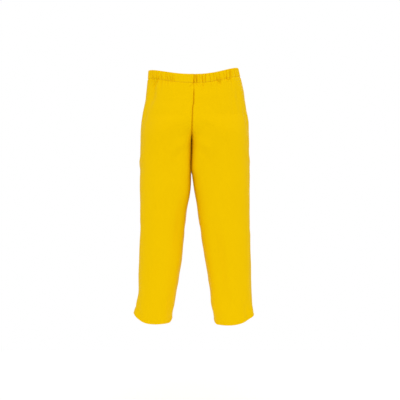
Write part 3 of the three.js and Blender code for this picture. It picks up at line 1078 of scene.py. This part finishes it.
class Finish:
    """Base of the finishes: one Principled shader and helpers for the nodes in front of it."""

    def __init__(self, name: str) -> None:
        """Starts a node material of that name."""
        self.material = bpy.data.materials.new(name)
        self.material.use_nodes = True
        self.tree = self.material.node_tree
        self.shader = self.tree.nodes["Principled BSDF"]

    def node(self, kind: str, settings: dict[str, object] | None = None,
             values: dict[str, object] | None = None) -> bpy.types.Node:
        """Adds a node.

        Args:
            kind: The node's type.
            settings: Its own settings, set first.
            values: Values or links of its sockets, by name.

        Returns:
            The node.
        """
        node = self.tree.nodes.new(kind)
        for key, value in (settings or {}).items():
            setattr(node, key, value)
        for key, value in (values or {}).items():
            socket = node.inputs[key]
            if isinstance(value, Wire):
                self.tree.links.new(value.socket, socket)
            else:
                socket.default_value = value
        return node

    def wire(self, node: bpy.types.Node, output: str | int = 0) -> Wire:
        """Wraps one of a node's outputs."""
        return Wire(self.tree, node.outputs[output])

    def noise(self, scale: float, detail: float = 2.0) -> Wire:
        """Noise over the piece's own place, as a value from 0 to 1."""
        place = self.node("ShaderNodeTexCoord")
        return self.wire(self.node("ShaderNodeTexNoise", {}, {
            "Vector": self.wire(place, "Object"), "Scale": scale, "Detail": detail}), "Fac")

    def weave(self, thread: float) -> Wire:
        """Crossing threads along the piece's own chart, as a height from 0 to 1."""
        chart = self.node("ShaderNodeUVMap", {"uv_map": "Weave"})
        parts = self.node("ShaderNodeSeparateXYZ", {}, {"Vector": self.wire(chart)})
        turn = 2 * math.pi / thread
        across = (self.wire(parts, "X") * turn).sine()
        down = (self.wire(parts, "Y") * turn).sine()
        return across * down * 0.5 + 0.5

    def tint(self, dark: tuple[float, float, float], light: tuple[float, float, float],
             share: Wire) -> Wire:
        """Mixes two colours by a share."""
        mix = self.node("ShaderNodeMix", {"data_type": "RGBA"}, {0: share})
        mix.inputs[6].default_value = (*dark, 1)
        mix.inputs[7].default_value = (*light, 1)
        return Wire(self.tree, mix.outputs[2])

    def put(self, socket: str, value: Wire | float | tuple) -> None:
        """Sets or links one of the shader's sockets."""
        target = self.shader.inputs[socket]
        if isinstance(value, Wire):
            self.tree.links.new(value.socket, target)
        else:
            target.default_value = value

    def bump(self, height: Wire, distance: float, strength: float) -> None:
        """Feeds the shader's normal from a height."""
        node = self.node("ShaderNodeBump", {}, {
            "Height": height, "Distance": distance, "Strength": strength})
        self.put("Normal", self.wire(node))


@dataclass(frozen=True)
class CoatedCloth:
    """The shell's outer face: yellow cloth with a thin matt coating."""

    light: tuple[float, float, float] = (0.872, 0.553, 0.0008)
    dark: tuple[float, float, float] = (0.838, 0.518, 0.0006)
    glint: tuple[float, float, float] = (1.0, 0.72, 0.05)
    roughness: float = 0.50
    shine: float = 0.03

    def material(self) -> bpy.types.Material:
        """Builds the material."""
        finish = Finish("coated_yellow_cloth")
        broad = finish.noise(7.0, 3.0)
        fine = finish.noise(160.0, 3.0)
        crease = finish.noise(46.0, 4.0)
        weave = finish.weave(0.0011)
        share = (broad * 0.75 + fine * 0.35 - 0.05).bounded()
        finish.put("Base Color", finish.tint(self.dark, self.light, share))
        finish.put("Roughness", (fine * 0.10 + crease * 0.06 + (self.roughness - 0.08)).bounded())
        finish.put("Specular IOR Level", self.shine)
        finish.put("Specular Tint", (*self.glint, 1))
        finish.bump(weave * 0.22 + crease * 0.55 + fine * 0.22, 0.00045, 0.55)
        return finish.material


@dataclass(frozen=True)
class ClothReverse:
    """The shell's inner face: the bare woven side."""

    light: tuple[float, float, float] = (0.800, 0.520, 0.030)
    dark: tuple[float, float, float] = (0.700, 0.430, 0.022)

    def material(self) -> bpy.types.Material:
        """Builds the material."""
        finish = Finish("woven_reverse")
        weave = finish.weave(0.0014)
        fine = finish.noise(220.0, 2.0)
        finish.put("Base Color", finish.tint(self.dark, self.light, weave * 0.6 + fine * 0.4))
        finish.put("Roughness", fine * 0.1 + 0.72)
        finish.put("Sheen Weight", 0.15)
        finish.bump(weave * 0.8 + fine * 0.2, 0.0002, 0.6)
        return finish.material


@dataclass(frozen=True)
class SpeckledFinish:
    """A plain finish with fine specks in its colour, its roughness and its relief."""

    name: str
    light: tuple[float, float, float]
    dark: tuple[float, float, float]
    grain: float
    detail: float
    roughness: float
    spread: float
    relief: float
    strength: float

    def material(self) -> bpy.types.Material:
        """Builds the material."""
        finish = Finish(self.name)
        fine = finish.noise(self.grain, self.detail)
        finish.put("Base Color", finish.tint(self.dark, self.light, fine))
        finish.put("Roughness", fine * self.spread + self.roughness)
        finish.bump(fine, self.relief, self.strength)
        return finish.material


SEALING_TAPE = SpeckledFinish(
    "sealing_tape", light=(0.860, 0.600, 0.090), dark=(0.780, 0.520, 0.060), grain=90.0,
    detail=3.0, roughness=0.34, spread=0.12, relief=0.0002, strength=0.4)
SEWING_THREAD = SpeckledFinish(
    "sewing_thread", light=(0.780, 0.440, 0.004), dark=(0.600, 0.310, 0.003), grain=900.0,
    detail=2.0, roughness=0.6, spread=0.1, relief=0.0001, strength=0.5)


@dataclass(frozen=True)
class RibbedElastic:
    """Woven elastic with ribs along its length."""

    light: tuple[float, float, float] = (0.80, 0.78, 0.72)
    dark: tuple[float, float, float] = (0.62, 0.60, 0.54)

    def material(self) -> bpy.types.Material:
        """Builds the material."""
        finish = Finish("ribbed_elastic")
        weave = finish.weave(0.0030)
        finish.put("Base Color", finish.tint(self.dark, self.light, weave))
        finish.put("Roughness", weave * 0.1 + 0.8)
        finish.bump(weave, 0.0004, 0.7)
        return finish.material


# Name, place, side in metres and power in watts of each light.
LAMPS = (
    ("front_softbox", (-0.15, -3.6, 1.2), 2.2, 30),
    ("fill_right", (3.3, -1.5, 0.8), 2.2, 25),
    ("fill_left", (-3.4, -1.5, 0.8), 2.2, 23),
    ("top_soft", (0.0, -0.9, 2.4), 2.0, 14),
    ("back_soft", (0.4, 3.4, 0.6), 3.0, 36),
)


@dataclass
class Studio:
    """Camera, lights, floor and pale surroundings."""

    distance: float = 4.0
    view_width: float = 1.680
    aim: tuple[float, float, float] = (0.0239, 0.0, -0.5537)
    lamps_at: tuple[float, float, float] = (0.0, 0.0, -0.52)
    ambient: float = 0.645
    floor_drop: float = 0.36
    floor_glow: float = 0.12

    def camera(self) -> None:
        """Sets the camera level, straight in front."""
        data = bpy.data.cameras.new("camera")
        data.sensor_width = 36.0
        data.lens = 36.0 * self.distance / self.view_width
        data.clip_end = 60.0
        obj = bpy.data.objects.new("camera", data)
        obj.location = (self.aim[0], -self.distance, self.aim[2])
        obj.rotation_euler = (math.radians(90), 0, 0)
        show(obj)
        bpy.context.scene.camera = obj

    def lamp(self, name: str, place: tuple[float, float, float], size: float, power: float) -> None:
        """Adds a soft square light that faces the trousers.

        Args:
            name: The light's name.
            place: Where it stands.
            size: Its side.
            power: Its power in watts.
        """
        data = bpy.data.lights.new(name, "AREA")
        data.size = size
        data.energy = power
        obj = bpy.data.objects.new(name, data)
        obj.location = place
        way = np.array(self.lamps_at) - np.array(place)
        tip = math.atan2(math.hypot(way[0], way[1]), -way[2])
        obj.rotation_euler = (tip, 0, math.atan2(way[1], way[0]) - math.pi / 2)
        show(obj)

    def surroundings(self) -> None:
        """Makes the pale surroundings: white to the eye, dimmer as light."""
        world = bpy.data.worlds.new("studio")
        bpy.context.scene.world = world
        world.use_nodes = True
        tree = world.node_tree
        tree.nodes.clear()
        path = tree.nodes.new("ShaderNodeLightPath")
        mix = tree.nodes.new("ShaderNodeMixShader")
        for entry, strength in ((1, self.ambient), (2, 1.0)):
            back = tree.nodes.new("ShaderNodeBackground")
            back.inputs["Color"].default_value = (1, 1, 1, 1)
            back.inputs["Strength"].default_value = strength
            tree.links.new(back.outputs[0], mix.inputs[entry])
        out = tree.nodes.new("ShaderNodeOutputWorld")
        tree.links.new(path.outputs["Is Camera Ray"], mix.inputs["Fac"])
        tree.links.new(mix.outputs[0], out.inputs["Surface"])

    def floor(self) -> None:
        """Makes the plain pale floor, well under the hanging hems."""
        mesh = bpy.data.meshes.new("floor")
        half, level = 1.6, HEM - self.floor_drop
        mesh.from_pydata([(-half, -half, level), (half, -half, level), (half, half, level),
                          (-half, half, level)], [], [(0, 1, 2, 3)])
        obj = show(bpy.data.objects.new("floor", mesh))
        finish = Finish("pale_floor")
        speck = finish.noise(3.0, 2.0)
        finish.put("Base Color", finish.tint((0.93, 0.93, 0.93), (0.95, 0.95, 0.95), speck))
        finish.put("Roughness", 0.9)
        finish.put("Emission Color", (1, 1, 1, 1))
        finish.put("Emission Strength", self.floor_glow)
        obj.data.materials.append(finish.material)

    def build(self) -> None:
        """Puts the whole studio up."""
        self.surroundings()
        self.camera()
        self.floor()
        for lamp in LAMPS:
            self.lamp(*lamp)
        bpy.context.scene.view_settings.view_transform = "Standard"


class Garment:
    """All the pieces, each given its finish, its bodies and the CAD nodes it stands for."""

    panel_cuts: dict[str, tuple[float, float]] = {"upper": (0.36, 0.172), "lower": (0.30, 0.143)}
    tape_top: float = -0.044
    tape_bottom: float = HEM + 0.013

    def __init__(self) -> None:
        """Sets up the makers and the finishes."""
        self.form, self.hanging, self.stitches = TrouserForm(), Hanging(), StitchRun()
        self.shell, self.reverse = CoatedCloth().material(), ClothReverse().material()
        self.tape, self.thread = SEALING_TAPE.material(), SEWING_THREAD.material()
        self.elastic_finish = RibbedElastic().material()
        self.sewn_on: dict[str, list[bpy.types.Object]] = {}
        Studio().build()
        self.band, self.hems, self.tapes = (
            maker(self.form) for maker in (Waistband, Hems, SeamTapes))

    @staticmethod
    def settle(obj: bpy.types.Object, slot: str, nodes: list[str], body: str = "") -> None:
        """Attaches a piece to its body, hides the CAD nodes it stands for, and reports it.

        Args:
            obj: The piece.
            slot: Its material slot; not used.
            nodes: The CAD nodes it stands for.
            body: The body it rides on, or nothing if it rides on none.
        """
        if body:
            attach(obj, body)
        if nodes:
            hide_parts(*nodes)
        LOG.info("%s: %d faces", obj.name, len(obj.data.polygons))

    def hang(self, obj: bpy.types.Object, part: str, side: Side) -> None:
        """Bakes the transform of a piece of the upper or lower leg."""
        (self.hanging.upper if part == "upper" else self.hanging.lower)(obj, side)

    def make_shell(self, side: Side) -> None:
        """Makes one half's panels and casing."""
        word = side.word
        for name, obj in ClothPanels(self.form).cut(side).items():
            dress(obj, self.shell, self.reverse)
            face, _, part, _ = name.split("_")
            self.hang(obj, part, side)
            if part == "upper":
                stood = [f"seat_{face}_{word}"] + [f"groin_fold_{word}"] * (face == "front")
            else:
                stood = [f"thigh_{face}_{word}", f"shin_{face}_{word}"]
                stood += [f"knee_fold_{word}"] * (face == "back")
            self.settle(obj, "cloth", stood)
            self.sewn_on[name] = []
        casing = self.band.casing(side)
        dress(casing, self.shell, self.reverse)
        self.settle(casing, "cloth", [f"waist_casing_{word}"], "seat")
        self.sewn_on[casing.name] = []

    def make_hem(self, side: Side) -> None:
        """Makes one leg's turned hem and its stitching."""
        word = side.word
        hem = self.hems.turn_up(side)
        dress(hem, self.reverse, self.shell)
        self.settle(hem, "cloth_inside", [f"hem_turn_up_{word}"], f"shin_{word}")
        sewn = self.stitches.sew(f"hem_stitches_{word}", self.hems.stitch_path(side), self.thread)
        self.settle(sewn, "thread", [f"hem_stitching_{word}"], f"shin_{word}")
        self.sewn_on[f"front_panel_lower_{word}"] += [hem, sewn]

    def make_leg_tapes(self, side: Side) -> None:
        """Makes one leg's tapes, above and below the split."""
        word = side.word
        for seam, around, top, parts in (("outseam", 0.5, self.tape_top, ("seat",)),
                                         ("inseam", 0.0, CROTCH - 0.006, ())):
            for part, high, low, stood in (("upper", top, SPLIT, parts),
                                           ("lower", SPLIT, self.tape_bottom, ("thigh", "shin"))):
                strip = self.tapes.along_leg(f"{seam}_tape_{part}_{word}", side, around, high, low)
                dress(strip, self.tape, self.tape)
                self.hang(strip, part, side)
                nodes = [f"{seam}_tape_{body}_{word}" for body in stood]
                self.settle(strip, "cloth_inside", nodes)
                self.sewn_on[f"front_panel_{part}_{word}"].append(strip)

    def make_waist(self) -> None:
        """Makes the elastic and the band's stitching."""
        loop = self.band.elastic()
        dress(loop, self.elastic_finish, self.elastic_finish)
        self.settle(loop, "elastic", ["waist_elastic"], "seat")
        line = self.band.stitch_path(-BAND + 0.0032)
        sewn = self.stitches.sew("waist_stitches", line, self.thread)
        self.settle(sewn, "thread", ["waist_stitching"], "seat")
        self.sewn_on["casing_cloth_right"] += [loop, sewn]

    def make_rise_tapes(self) -> None:
        """Makes the tapes over the front and back rise seams."""
        for face in Face:
            name = f"{face.word}_rise_sealing_tape"
            strip = self.tapes.along_rise(name, face, self.tape_top, CROTCH + 0.030)
            dress(strip, self.tape, self.tape)
            self.settle(strip, "cloth_inside", [f"{face.word}_rise_tape"], "seat")
            self.sewn_on[f"{face.word}_panel_upper_right"].append(strip)

    def build(self) -> None:
        """Makes everything, one half after the other."""
        for side in Side:
            self.make_shell(side)
            self.make_hem(side)
            self.make_leg_tapes(side)
        self.make_waist()
        self.make_rise_tapes()


def main() -> None:
    """Builds the trousers piece by piece and reports each one."""
    logging.basicConfig(level=logging.INFO, format="%(name)s: %(message)s")
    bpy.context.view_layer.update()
    Garment().build()


if __name__ == "__main__":
    main()
